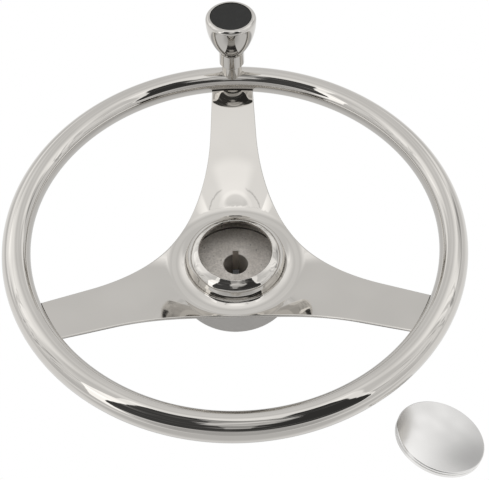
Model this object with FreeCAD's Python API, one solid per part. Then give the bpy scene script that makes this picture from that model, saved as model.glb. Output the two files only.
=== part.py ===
import FreeCAD, Part
import os
from math import asin, atan, cos, degrees, pi, radians, sin, sqrt, tan

# Boat steering wheel with three dished spokes, a keyed hub, a turning knob and a loose hub cap.
# Millimetres, +Z up along the shaft bore. The origin is where the bore leaves the back of its boss.
# The wheel lies face up on the skirt of its hub, and the cap lies beside it as it would come to rest.

# Rim, a round tube bent to a closed ring
RIM_OUTER_DIAMETER = 343.0
RIM_TUBE_DIAMETER = 20.6
RIM_TUBE_WALL = 1.5
RIM_HEIGHT = 68.4

# Spider, one pressed plate with three spokes and a drawn collar
PLATE_THICKNESS = 2.3
SPOKE_COUNT = 3
SPOKE_END_WIDTH = 34.0
SPOKE_FLARE = 2.86
SPOKE_END_DROP = 2.3
WAIST_RADIUS = 51.3
COLLAR_OPENING_DIAMETER = 56.6
COLLAR_LIP_HEIGHT = 18.4
COLLAR_DIAMETER = 76.0
COLLAR_BEND_HEIGHT = 10.5
COLLAR_DRAFT = 3.0
COLLAR_CROWN_RISE = 2.1
BEND_RADIUS = 2.6
FOOT_RADIUS = 2.5
PAD_WIDTH = 9.5
PAD_TILT = 12.0
DISH_HEIGHT = 2.8
DISH_RADIUS = 22.0

# Hub, one casting with a flat floor, a keyed boss and a ribbed skirt
BORE_DIAMETER = 19.05
BORE_LENGTH = 25.4
BORE_CHAMFER = 0.5
KEYWAY_WIDTH = 4.8
KEYWAY_DEPTH = 3.0
FLOOR_THICKNESS = 6.0
BOSS_DIAMETER = 38.0
BARREL_DIAMETER = 91.0
BARREL_WALL = 4.0
BARREL_DRAFT = 1.0
SKIRT_DEPTH = 2.1
SKIRT_EDGE_RADIUS = 1.0
RIB_COUNT = 6
RIB_THICKNESS = 3.5
RIB_RECESS = 6.0
HUB_SEAT_CLEARANCE = 0.1

# Knob post and the fixed sleeve above it
POST_DIAMETER = 16.2
POST_HEIGHT = 7.7
POST_SPIGOT_DIAMETER = 11.0
POST_SPIGOT_LENGTH = 3.0
SPIGOT_CLEARANCE = 0.1
SLEEVE_DIAMETER = 20.6
SLEEVE_LENGTH = 14.4
SLEEVE_CHAMFER = 2.2

# Shoulder screw that the knob turns on
SHOULDER_DIAMETER = 10.0
THREAD_DIAMETER = 8.0
THREAD_LENGTH = 9.5
THREAD_CLEARANCE = 0.05
SHOULDER_FIT = 0.05
HEAD_DIAMETER = 16.0
HEAD_HEIGHT = 5.6
SOCKET_ACROSS_FLATS = 6.0
SOCKET_DEPTH = 3.2
HEAD_CHAMFER = 0.6

# Washers and bushes of the knob
THRUST_WASHER_DIAMETER = 19.0
THRUST_WASHER_THICKNESS = 0.8
HEAD_WASHER_DIAMETER = 20.0
HEAD_WASHER_THICKNESS = 1.2
BUSH_DIAMETER = 14.0
BUSH_GAP = 4.0
BUSH_FLANGE_DIAMETER = 18.0
BUSH_FLANGE_THICKNESS = 1.4
KNOB_END_PLAY = 0.1

# Bell-shaped knob and its black insert
BELL_DIAMETER = 40.4
BELL_NECK_DIAMETER = 20.8
BELL_HEIGHT = 34.0
BELL_TOP_RADIUS = 3.4
BELL_LEDGE = 3.2
BELL_HOLLOW_CLEARANCE = 0.6
HEAD_ROOM = 3.4
INSERT_DIAMETER = 33.2
INSERT_THICKNESS = 3.0
INSERT_RECESS = 0.3
INSERT_EDGE_RADIUS = 0.8
INSERT_RING_WALL = 1.4
INSERT_RING_DEPTH = 3.0
INSERT_CLEARANCE = 0.05
FLANGE_CLEARANCE = 0.05

# Hub cap: a lid, a back plate pressed into it and two spring clips welded under the plate
LID_DIAMETER = 63.4
LID_HEIGHT = 6.3
LID_CROWN = 0.9
LID_SHEET = 1.2
LID_EDGE_RADIUS = 0.8
LID_GROOVE_DEPTH = 0.5
LID_GROOVE_WIDTH = 0.6
LID_GROOVE_POSITION = 1.9
LID_FOOT_CHAMFER = 0.4
BACK_PLATE_THICKNESS = 1.0
BACK_PLATE_RECESS = 1.0
BACK_PLATE_CLEARANCE = 0.05
CLIP_THICKNESS = 0.8
CLIP_WIDTH = 4.5
CLIP_FOOT_LENGTH = 12.0
CLIP_CATCH = 0.8
CLIP_CATCH_DEPTH = 4.4
CLIP_SHOULDER_INSET = 4.6
CLIP_TOE_INSET = 3.2
CLIP_TOE_LENGTH = 3.0
CLIP_REACH = 15.2
CLIP_BEND_RADIUS = 1.6

# Where the cap lies, and which way it leans on the toes of its clips
CAP_X = 141.8
CAP_Y = -142.9
CAP_LEAN_DIRECTION = 48.3

Vector = FreeCAD.Vector
UP = Vector(0, 0, 1)
ORIGIN = Vector(0, 0, 0)

# Places worked out from the sizes above
rim_radius = (RIM_OUTER_DIAMETER - RIM_TUBE_DIAMETER) / 2
tube_radius = RIM_TUBE_DIAMETER / 2
spoke_end_radius = rim_radius - tube_radius
spoke_end_z = RIM_HEIGHT - SPOKE_END_DROP
floor_z = BORE_LENGTH
base_z = -SKIRT_DEPTH
tube_crest_z = RIM_HEIGHT + tube_radius
post_top_z = tube_crest_z + POST_HEIGHT
sleeve_top_z = post_top_z + SLEEVE_LENGTH
bell_bottom_z = sleeve_top_z + THRUST_WASHER_THICKNESS + KNOB_END_PLAY
bell_top_z = bell_bottom_z + BELL_HEIGHT
insert_top_z = bell_top_z - INSERT_RECESS
insert_bottom_z = insert_top_z - INSERT_THICKNESS
head_top_z = insert_bottom_z - HEAD_ROOM
head_seat_z = head_top_z - HEAD_HEIGHT
head_washer_z = head_seat_z - HEAD_WASHER_THICKNESS
bell_floor_z = head_washer_z - KNOB_END_PLAY - BUSH_FLANGE_THICKNESS
bush_length = (bell_floor_z - bell_bottom_z - BUSH_GAP) / 2
bell_hollow_radius = HEAD_WASHER_DIAMETER / 2 + BELL_HOLLOW_CLEARANCE


def point(radius, height):
    """A point of a half section in the XZ plane."""
    return Vector(radius, 0, height)


def rounded_edges(points, radii):
    """Straight runs through the points, each inner corner rounded by its radius."""
    edges = []
    start = points[0]
    for corner, following, radius in zip(points[1:-1], points[2:], radii):
        back = (start - corner).normalize()
        ahead = (following - corner).normalize()
        if radius <= 0:
            edges.append(Part.makeLine(start, corner))
            start = corner
            continue
        half_angle = back.getAngle(ahead) / 2
        reach = radius / tan(half_angle)
        bisector = (back + ahead).normalize()
        centre = corner + bisector * (radius / sin(half_angle))
        tangent_in = corner + back * reach
        tangent_out = corner + ahead * reach
        if start.distanceToPoint(tangent_in) > 1e-6:
            edges.append(Part.makeLine(start, tangent_in))
        edges.append(Part.Arc(tangent_in, centre - bisector * radius, tangent_out).toShape())
        start = tangent_out
    edges.append(Part.makeLine(start, points[-1]))
    return edges


def closed_face(edges):
    """A flat face inside a loop of edges."""
    return Part.Face(Part.Wire(Part.__sortEdges__(edges)))


def turned(points, radii=None):
    """A solid of revolution about Z, from the corners of its half section."""
    loop = list(points) + [points[0]]
    rounding = list(radii) if radii else [0] * (len(points) - 1)
    return closed_face(rounded_edges(loop, rounding)).revolve(ORIGIN, UP, 360)


def offset_points(points, distance):
    """The corners of the path that lies below the given one by a distance across the sheet."""
    shifted = []
    for before, after in zip(points, points[1:]):
        run = (after - before).normalize()
        down = Vector(run.z, 0, -run.x) * distance
        shifted.append((before + down, after + down, run))
    corners = [shifted[0][0]]
    for (_, end, run), (start, _, next_run) in zip(shifted, shifted[1:]):
        turn = run.x * next_run.z - run.z * next_run.x
        gap = start - end
        along = (gap.x * next_run.z - gap.z * next_run.x) / turn
        corners.append(end + run * along)
    corners.append(shifted[-1][1])
    return corners


def offset_radii(points, radii, distance):
    """Corner radii of the lower path: smaller where the sheet bends down, larger where it bends up."""
    result = []
    for before, corner, after, radius in zip(points, points[1:], points[2:], radii):
        first = corner - before
        second = after - corner
        bends_down = first.x * second.z - first.z * second.x < 0
        result.append(radius - distance if bends_down else radius + distance)
    return result


def sheet_path():
    """Corners and radii of the spider's upper surface, from the collar's lip out to the rim."""
    lip = point(COLLAR_OPENING_DIAMETER / 2, floor_z + COLLAR_LIP_HEIGHT)
    bend = point(COLLAR_DIAMETER / 2, floor_z + COLLAR_BEND_HEIGHT)
    chord = (bend - lip).normalize()
    crown = (lip + bend) * 0.5 + Vector(-chord.z, 0, chord.x) * COLLAR_CROWN_RISE
    dish_z = floor_z + DISH_HEIGHT
    foot_z = dish_z + PAD_WIDTH * tan(radians(PAD_TILT))
    foot = point(bend.x + (bend.z - foot_z) * tan(radians(COLLAR_DRAFT)), foot_z)
    dish = point(foot.x + PAD_WIDTH, dish_z)
    spoke_end = point(spoke_end_radius, spoke_end_z)
    beyond = spoke_end + (spoke_end - dish).normalize() * tube_radius
    half_turn = (crown - lip).getAngle(bend - crown) / 2
    crown_radius = (crown.distanceToPoint(bend) - BEND_RADIUS) / tan(half_turn)
    corners = [lip, crown, bend, foot, dish, beyond]
    return corners, [crown_radius, BEND_RADIUS, FOOT_RADIUS, DISH_RADIUS]


def hub_seat_z():
    """The height of the hub's flat seat, just under the lowest ring of the plate."""
    foot, dish, beyond = sheet_path()[0][-3:]
    tilt = radians(PAD_TILT)
    reach = DISH_RADIUS * tan((dish - foot).getAngle(beyond - dish) / 2)
    lowest_z = dish.z + reach * sin(tilt) + DISH_RADIUS * (cos(tilt) - 1)
    return lowest_z - PLATE_THICKNESS - HUB_SEAT_CLEARANCE


def spider_outline():
    """The flat outline of the spokes, with one wide arc across each waist between two spokes."""
    half_turn = pi / SPOKE_COUNT
    flare = tan(radians(SPOKE_FLARE))
    slant = sqrt(1 + flare * flare)
    reach = spoke_end_radius + tube_radius
    width_at_axis = SPOKE_END_WIDTH / 2 + flare * spoke_end_radius
    centre_distance = slant * WAIST_RADIUS - width_at_axis
    centre_distance /= slant - sin(half_turn) - flare * cos(half_turn)
    arc_radius = centre_distance - WAIST_RADIUS
    tangent_along = centre_distance * cos(half_turn) - arc_radius * flare / slant
    tangent_side = width_at_axis - flare * tangent_along
    end_side = width_at_axis - flare * reach
    edges = []
    for index in range(SPOKE_COUNT):
        along_angle = pi / 2 + index * 2 * half_turn
        along = Vector(cos(along_angle), sin(along_angle), 0)
        side = Vector(-sin(along_angle), cos(along_angle), 0)
        next_angle = along_angle + 2 * half_turn
        next_along = Vector(cos(next_angle), sin(next_angle), 0)
        next_side = Vector(-sin(next_angle), cos(next_angle), 0)
        waist = Vector(cos(along_angle + half_turn), sin(along_angle + half_turn), 0) * WAIST_RADIUS
        right_tangent = along * tangent_along - side * tangent_side
        right_end = along * reach - side * end_side
        left_end = along * reach + side * end_side
        left_tangent = along * tangent_along + side * tangent_side
        next_tangent = next_along * tangent_along - next_side * tangent_side
        edges.append(Part.makeLine(right_tangent, right_end))
        edges.append(Part.makeLine(right_end, left_end))
        edges.append(Part.makeLine(left_end, left_tangent))
        edges.append(Part.Arc(left_tangent, waist, next_tangent).toShape())
    return closed_face(edges)


def rim_envelope():
    """The outside of the rim tube as a plain ring."""
    return Part.makeTorus(rim_radius, tube_radius, Vector(0, 0, RIM_HEIGHT), UP)


def knob_cylinder(radius, bottom, top):
    """A cylinder on the knob's axis, which stands on the tube at the twelve o'clock spoke."""
    return Part.makeCylinder(radius, top - bottom, Vector(0, rim_radius, bottom), UP)


def on_knob_axis(shape):
    """Moves a shape that was turned about Z to the knob's axis."""
    shape.translate(Vector(0, rim_radius, 0))
    return shape


def rim_tube():
    """The hollow ring, drilled where the knob post's spigot enters."""
    inside = Part.makeTorus(rim_radius, tube_radius - RIM_TUBE_WALL, Vector(0, 0, RIM_HEIGHT), UP)
    drilled = knob_cylinder(POST_SPIGOT_DIAMETER / 2 + SPIGOT_CLEARANCE, RIM_HEIGHT, post_top_z)
    return rim_envelope().cut(inside).cut(drilled)


def sheet_face(path, radii, thickness):
    """The section of a bent sheet that lies below a path of rounded corners."""
    lower = offset_points(path, thickness)
    edges = rounded_edges(path, radii) + rounded_edges(lower, offset_radii(path, radii, thickness))
    edges.append(Part.makeLine(path[0], lower[0]))
    edges.append(Part.makeLine(path[-1], lower[-1]))
    return closed_face(edges)


def spider_plate():
    """The dished plate: a turned sheet section trimmed to the outline and to the tube."""
    path, radii = sheet_path()
    dished = sheet_face(path, radii, PLATE_THICKNESS).revolve(ORIGIN, UP, 360)
    outline = spider_outline()
    outline.translate(Vector(0, 0, base_z))
    trimmed = dished.common(outline.extrude(Vector(0, 0, tube_crest_z - base_z)))
    return trimmed.cut(rim_envelope())


def hub_casting():
    """The hub: sunk floor, seat under the plate's pad, keyed boss, tapered skirt and radial ribs."""
    seat_z = hub_seat_z()
    top_radius = BARREL_DIAMETER / 2 - (seat_z - base_z) * tan(radians(BARREL_DRAFT))
    ceiling_z = floor_z - FLOOR_THICKNESS
    bore_radius = BORE_DIAMETER / 2
    barrel = turned(
        [point(0, 0), point(BOSS_DIAMETER / 2, 0), point(BOSS_DIAMETER / 2, ceiling_z),
         point(top_radius - BARREL_WALL, ceiling_z), point(BARREL_DIAMETER / 2 - BARREL_WALL, base_z),
         point(BARREL_DIAMETER / 2, base_z), point(top_radius, seat_z), point(0, seat_z)],
        [0, BARREL_WALL / 2, BARREL_WALL / 2, 0, SKIRT_EDGE_RADIUS, 0, 0],
    )
    inside_collar = COLLAR_DIAMETER / 2 - PLATE_THICKNESS
    barrel = barrel.cut(Part.makeCylinder(inside_collar, seat_z - floor_z, Vector(0, 0, floor_z), UP))
    for index in range(RIB_COUNT):
        barrel = barrel.fuse(hub_rib(index, ceiling_z, top_radius))
    bore = Part.makeCylinder(bore_radius, floor_z, ORIGIN, UP)
    mouth = Part.makeCone(bore_radius, bore_radius + BORE_CHAMFER, BORE_CHAMFER,
                          Vector(0, 0, floor_z - BORE_CHAMFER), UP)
    keyway = Part.makeBox(KEYWAY_WIDTH, bore_radius + KEYWAY_DEPTH, floor_z,
                          Vector(-KEYWAY_WIDTH / 2, 0, 0))
    return barrel.cut(bore).cut(mouth).cut(keyway).removeSplitter()


def hub_rib(index, ceiling_z, top_radius):
    """One radial rib between the boss and the skirt, sunk a little into both."""
    inner = BOSS_DIAMETER / 2 - BARREL_WALL / 2
    outer = top_radius - BARREL_WALL / 2
    bottom = base_z + RIB_RECESS
    rib = Part.makeBox(outer - inner, RIB_THICKNESS, ceiling_z + FLOOR_THICKNESS / 2 - bottom,
                       Vector(inner, -RIB_THICKNESS / 2, bottom))
    rib.rotate(ORIGIN, UP, index * 360 / RIB_COUNT)
    return rib


def knob_post():
    """The welded post: coped to the tube, with a spigot through its wall and a tapped hole."""
    spigot_bottom = tube_crest_z - RIM_TUBE_WALL - POST_SPIGOT_LENGTH
    post = knob_cylinder(POST_DIAMETER / 2, RIM_HEIGHT, post_top_z).cut(rim_envelope())
    post = post.fuse(knob_cylinder(POST_SPIGOT_DIAMETER / 2, spigot_bottom, post_top_z))
    tapped = knob_cylinder(THREAD_DIAMETER / 2 + THREAD_CLEARANCE, spigot_bottom, post_top_z)
    return post.cut(tapped).removeSplitter()


def knob_sleeve():
    """The fixed sleeve between the post and the knob, chamfered at its foot."""
    inner = SHOULDER_DIAMETER / 2 + SHOULDER_FIT
    outer = SLEEVE_DIAMETER / 2
    chamfer = SLEEVE_CHAMFER
    return on_knob_axis(turned([
        point(inner, post_top_z), point(outer - chamfer, post_top_z),
        point(outer, post_top_z + chamfer), point(outer, sleeve_top_z), point(inner, sleeve_top_z),
    ]))


def knob_washer(diameter, thickness, bottom):
    """A flat washer on the shoulder screw."""
    ring = knob_cylinder(diameter / 2, bottom, bottom + thickness)
    return ring.cut(knob_cylinder(SHOULDER_DIAMETER / 2 + SHOULDER_FIT, bottom, bottom + thickness))


def knob_spindle():
    """The shoulder screw: threaded end, long ground shoulder and socket head."""
    shoulder = SHOULDER_DIAMETER / 2
    thread = THREAD_DIAMETER / 2
    head = HEAD_DIAMETER / 2
    screw = on_knob_axis(turned([
        point(0, post_top_z - THREAD_LENGTH), point(thread, post_top_z - THREAD_LENGTH),
        point(thread, post_top_z), point(shoulder, post_top_z), point(shoulder, head_seat_z),
        point(head, head_seat_z), point(head, head_top_z - HEAD_CHAMFER),
        point(head - HEAD_CHAMFER, head_top_z), point(0, head_top_z),
    ]))
    corner = SOCKET_ACROSS_FLATS / 2 / cos(pi / 6)
    hexagon = Part.makePolygon([
        Vector(corner * cos(step * pi / 3), rim_radius + corner * sin(step * pi / 3), head_top_z)
        for step in range(7)
    ])
    return screw.cut(Part.Face(hexagon).extrude(Vector(0, 0, -SOCKET_DEPTH)))


def knob_bush(flange_z, low, high):
    """A flanged bush whose barrel runs from low to high, with its flange at one end."""
    bush = knob_cylinder(BUSH_FLANGE_DIAMETER / 2, flange_z, flange_z + BUSH_FLANGE_THICKNESS)
    bush = bush.fuse(knob_cylinder(BUSH_DIAMETER / 2, low, high))
    return bush.cut(knob_cylinder(SHOULDER_DIAMETER / 2 + SHOULDER_FIT, low, high)).removeSplitter()


def knob_body():
    """The bell: one wide arc up its side, a rounded top edge, a shell and seats for its bushes."""
    widest = BELL_DIAMETER / 2
    neck = BELL_NECK_DIAMETER / 2
    widest_z = bell_top_z - BELL_TOP_RADIUS
    rise = widest_z - bell_bottom_z
    side_radius = (rise * rise + (widest - neck) ** 2) / (2 * (widest - neck))
    centre_x = widest - side_radius
    half = asin(rise / side_radius) / 2
    middle = point(centre_x + side_radius * cos(half), widest_z - side_radius * sin(half))
    lip = widest - BELL_TOP_RADIUS
    diagonal = BELL_TOP_RADIUS * cos(pi / 4)
    shoulder = point(lip + diagonal, widest_z + diagonal)
    side = Part.Arc(point(neck, bell_bottom_z), middle, point(widest, widest_z)).toShape()
    edge = Part.Arc(point(widest, widest_z), shoulder, point(lip, bell_top_z)).toShape()
    section = closed_face([
        side, edge,
        Part.makeLine(point(lip, bell_top_z), point(0, bell_top_z)),
        Part.makeLine(point(0, bell_top_z), point(0, bell_bottom_z)),
        Part.makeLine(point(0, bell_bottom_z), point(neck, bell_bottom_z)),
    ])
    bell = section.revolve(ORIGIN, UP, 360)
    seat = INSERT_DIAMETER / 2
    ledge = seat - BELL_LEDGE
    hollow = turned([
        point(0, bell_floor_z), point(bell_hollow_radius, bell_floor_z),
        point(ledge, insert_bottom_z), point(seat, insert_bottom_z),
        point(seat, bell_top_z), point(0, bell_top_z),
    ])
    flange_pocket = BUSH_FLANGE_DIAMETER / 2 + FLANGE_CLEARANCE
    bush_seats = turned([
        point(0, bell_bottom_z), point(flange_pocket, bell_bottom_z),
        point(flange_pocket, bell_bottom_z + BUSH_FLANGE_THICKNESS),
        point(BUSH_DIAMETER / 2, bell_bottom_z + BUSH_FLANGE_THICKNESS),
        point(BUSH_DIAMETER / 2, bell_floor_z), point(0, bell_floor_z),
    ])
    return on_knob_axis(bell.cut(hollow).cut(bush_seats))


def knob_insert():
    """The black plug that closes the bell: a disc with a rounded edge and a stiffening ring."""
    outer = INSERT_DIAMETER / 2 - INSERT_CLEARANCE
    bottom = insert_bottom_z
    ring_outer = bell_hollow_radius - INSERT_CLEARANCE
    ring_inner = ring_outer - INSERT_RING_WALL
    ring_z = bottom - INSERT_RING_DEPTH
    return on_knob_axis(turned(
        [point(0, bottom), point(ring_inner, bottom), point(ring_inner, ring_z),
         point(ring_outer, ring_z), point(ring_outer, bottom), point(outer, bottom),
         point(outer, insert_top_z), point(0, insert_top_z)],
        [0, 0, 0, 0, 0, INSERT_EDGE_RADIUS, 0],
    ))


def cap_lid():
    """The pressed lid: a slightly crowned face, a grooved edge and a short skirt."""
    outer = LID_DIAMETER / 2
    inner = outer - LID_SHEET
    edge_z = -LID_CROWN
    crown_middle = point(outer / 2, -LID_CROWN / 4)
    face_arc = Part.Arc(point(0, 0), crown_middle, point(outer - LID_EDGE_RADIUS, edge_z)).toShape()
    skirt_top = edge_z - LID_EDGE_RADIUS
    corner = LID_EDGE_RADIUS * cos(pi / 4)
    rim_arc = Part.Arc(
        point(outer - LID_EDGE_RADIUS, edge_z),
        point(outer - LID_EDGE_RADIUS + corner, skirt_top + corner),
        point(outer, skirt_top),
    ).toShape()
    groove_top = edge_z - LID_GROOVE_POSITION
    groove_bottom = groove_top - LID_GROOVE_WIDTH
    path = [
        point(outer, skirt_top), point(outer, groove_top), point(outer - LID_GROOVE_DEPTH, groove_top),
        point(outer - LID_GROOVE_DEPTH, groove_bottom), point(outer, groove_bottom),
        point(outer, LID_FOOT_CHAMFER - LID_HEIGHT), point(outer - LID_FOOT_CHAMFER, -LID_HEIGHT),
        point(inner, -LID_HEIGHT), point(inner, edge_z - LID_SHEET), point(0, edge_z - LID_SHEET),
        point(0, 0),
    ]
    straight = rounded_edges(path, [0] * (len(path) - 2))
    return closed_face([face_arc, rim_arc] + straight).revolve(ORIGIN, UP, 360)


def cap_back_plate():
    """The disc pressed into the lid."""
    radius = LID_DIAMETER / 2 - LID_SHEET - BACK_PLATE_CLEARANCE
    bottom = Vector(0, 0, BACK_PLATE_RECESS - LID_HEIGHT)
    return Part.makeCylinder(radius, BACK_PLATE_THICKNESS, bottom, UP)


def cap_clip(turn):
    """A spring clip: a foot under the back plate, a leg bowed past the collar's lip, a turned-in toe."""
    foot_z = BACK_PLATE_RECESS - LID_HEIGHT
    catch = COLLAR_OPENING_DIAMETER / 2 + CLIP_CATCH
    shoulder = catch - CLIP_SHOULDER_INSET
    toe = catch - CLIP_TOE_INSET
    path = [
        point(shoulder - CLIP_FOOT_LENGTH, foot_z), point(shoulder, foot_z),
        point(catch, foot_z - CLIP_CATCH_DEPTH), point(toe, -CLIP_REACH),
        point(toe - CLIP_TOE_LENGTH, -CLIP_REACH),
    ]
    strip = sheet_face(path, [CLIP_BEND_RADIUS] * 3, CLIP_THICKNESS)
    strip.translate(Vector(0, -CLIP_WIDTH / 2, 0))
    clip = strip.extrude(Vector(0, CLIP_WIDTH, 0))
    clip.rotate(ORIGIN, UP, turn)
    return clip


def cap_lean():
    """The angle at which the cap rests on the edge of its lid and the toes of its clips."""
    edge_radius = LID_DIAMETER / 2 - LID_FOOT_CHAMFER
    return atan((CLIP_REACH - LID_HEIGHT) / (edge_radius - CLIP_WIDTH / 2))


def laid_beside(shape):
    """Puts a piece of the cap where the cap lies, leaning on its clips."""
    lean = cap_lean()
    edge_radius = LID_DIAMETER / 2 - LID_FOOT_CHAMFER
    face_z = base_z + edge_radius * sin(lean) + LID_HEIGHT * cos(lean)
    shape.rotate(ORIGIN, Vector(0, 1, 0), degrees(lean))
    shape.rotate(ORIGIN, UP, CAP_LEAN_DIRECTION)
    shape.translate(Vector(CAP_X, CAP_Y, face_z))
    return shape


nodes = {
    "rim_tube": rim_tube(),
    "spider_plate": spider_plate(),
    "hub_casting": hub_casting(),
    "knob_post": knob_post(),
    "knob_sleeve": knob_sleeve(),
    "knob_spindle": knob_spindle(),
    "knob_thrust_washer": knob_washer(
        THRUST_WASHER_DIAMETER, THRUST_WASHER_THICKNESS, sleeve_top_z),
    "knob_head_washer": knob_washer(
        HEAD_WASHER_DIAMETER, HEAD_WASHER_THICKNESS, head_washer_z),
    "knob_body": knob_body(),
    "knob_bush_lower": knob_bush(bell_bottom_z, bell_bottom_z, bell_bottom_z + bush_length),
    "knob_bush_upper": knob_bush(
        bell_floor_z, bell_floor_z - bush_length, bell_floor_z + BUSH_FLANGE_THICKNESS),
    "knob_insert": knob_insert(),
    "cap_lid": laid_beside(cap_lid()),
    "cap_back_plate": laid_beside(cap_back_plate()),
    "cap_clip_near": laid_beside(cap_clip(-90)),
    "cap_clip_far": laid_beside(cap_clip(90)),
}

os.makedirs("parts", exist_ok=True)
for name, shape in nodes.items():
    print(name, "valid", shape.isValid(), "solids", len(shape.Solids), "volume", round(shape.Volume, 1))
    shape.exportStep("parts/" + name + ".step")
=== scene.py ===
"""A boat steering wheel of polished steel with a turning knob, and its hub cap lying beside it."""

import logging
from dataclasses import dataclass
from enum import Enum
from math import asin, atan, atan2, cos, hypot, pi, radians, sin, sqrt, tan
from typing import Any

import bpy
import numpy as np
from mathutils import Matrix, Vector


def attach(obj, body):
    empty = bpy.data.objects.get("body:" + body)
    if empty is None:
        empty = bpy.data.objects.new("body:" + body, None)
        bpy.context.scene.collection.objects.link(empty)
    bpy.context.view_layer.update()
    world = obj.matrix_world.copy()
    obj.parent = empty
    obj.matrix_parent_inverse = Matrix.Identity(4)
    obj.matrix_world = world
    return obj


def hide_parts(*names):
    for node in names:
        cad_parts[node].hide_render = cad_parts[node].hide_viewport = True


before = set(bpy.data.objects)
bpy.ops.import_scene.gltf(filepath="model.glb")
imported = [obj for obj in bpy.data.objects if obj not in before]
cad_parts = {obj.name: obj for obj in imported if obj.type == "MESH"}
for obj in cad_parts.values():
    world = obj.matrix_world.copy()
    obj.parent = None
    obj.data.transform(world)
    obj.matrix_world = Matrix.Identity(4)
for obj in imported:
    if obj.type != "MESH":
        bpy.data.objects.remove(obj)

log = logging.getLogger("steering_wheel")

Colour = tuple[float, float, float]
Corner = tuple[float, float, float]
Pair = tuple[float, float]
Span = tuple[float, float, float, float]
Grid = tuple[np.ndarray, np.ndarray]

METRES = 0.001
TINY = 1e-6
WELD = 1e-6
# Moves the welding cells, so that no round measure lies on their borders
WELD_SHIFT = 0.37
# Places beyond the edges of every card, in metres, for a band that has no start or no end
OUT, FAR = 8.0, 9.0


class Lay(Enum):
    """The way that polishing marks run over a piece."""

    ALONG_RIM = "along_rim"
    ALONG_SPOKES = "along_spokes"
    ROUND_AXIS = "round_axis"


GIRTHS = {Lay.ALONG_RIM: 0.16, Lay.ROUND_AXIS: 0.02}


class Wire:
    """An output socket of a shader, with the arithmetic that adds Math nodes to it."""

    def __init__(self, shader: "Shader", socket: bpy.types.NodeSocket) -> None:
        """Keeps the shader and the socket.

        Args:
            shader: The shader that the socket's node belongs to.
            socket: The output socket.
        """
        self.shader = shader
        self.socket = socket

    def output(self, name: str | int) -> "Wire":
        """Another output of the same node."""
        return Wire(self.shader, self.socket.node.outputs[name])

    def __add__(self, other: "Wire | float") -> "Wire":
        """The sum."""
        return self.shader.maths("ADD", self, other)

    def __radd__(self, other: float) -> "Wire":
        """The sum."""
        return self.shader.maths("ADD", other, self)

    def __sub__(self, other: "Wire | float") -> "Wire":
        """The difference."""
        return self.shader.maths("SUBTRACT", self, other)

    def __rsub__(self, other: float) -> "Wire":
        """The difference."""
        return self.shader.maths("SUBTRACT", other, self)

    def __mul__(self, other: "Wire | float") -> "Wire":
        """The product."""
        return self.shader.maths("MULTIPLY", self, other)

    def __rmul__(self, other: float) -> "Wire":
        """The product."""
        return self.shader.maths("MULTIPLY", other, self)

    def __truediv__(self, other: "Wire | float") -> "Wire":
        """The quotient."""
        return self.shader.maths("DIVIDE", self, other)

    def __rtruediv__(self, other: float) -> "Wire":
        """The quotient."""
        return self.shader.maths("DIVIDE", other, self)

    def __neg__(self) -> "Wire":
        """The negative."""
        return self.shader.maths("MULTIPLY", self, -1.0)

    def __abs__(self) -> "Wire":
        """The absolute value."""
        return self.shader.maths("ABSOLUTE", self)

    def rises(self, low: float, high: float) -> "Wire":
        """A smooth step from 0 at the low value to 1 at the high one."""
        return self.shader.node("ShaderNodeMapRange", {"interpolation_type": "SMOOTHSTEP"},
                                {"Value": self, "From Min": low, "From Max": high})

    def falls(self, low: float, high: float) -> "Wire":
        """A smooth step from 1 at the low value to 0 at the high one."""
        return 1.0 - self.rises(low, high)

    def through(self, start: float, full: float, fade: float, end: float) -> "Wire":
        """A band that rises from its start until it is full, and then fades to its end."""
        return self.rises(start, full) * self.falls(fade, end)

    def within(self, low: float, high: float, soft: float) -> "Wire":
        """A band that is 1 between two values and fades to 0 over a soft edge outside them."""
        return self.through(low - soft, low, high, high + soft)


@dataclass(frozen=True)
class Grain:
    """A kind of noise: its clouds in a unit of the place, finer layers, their strength, and a seed."""

    scale: float
    detail: float = 2.0
    rough: float = 0.5
    seed: float = 0.0


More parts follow.
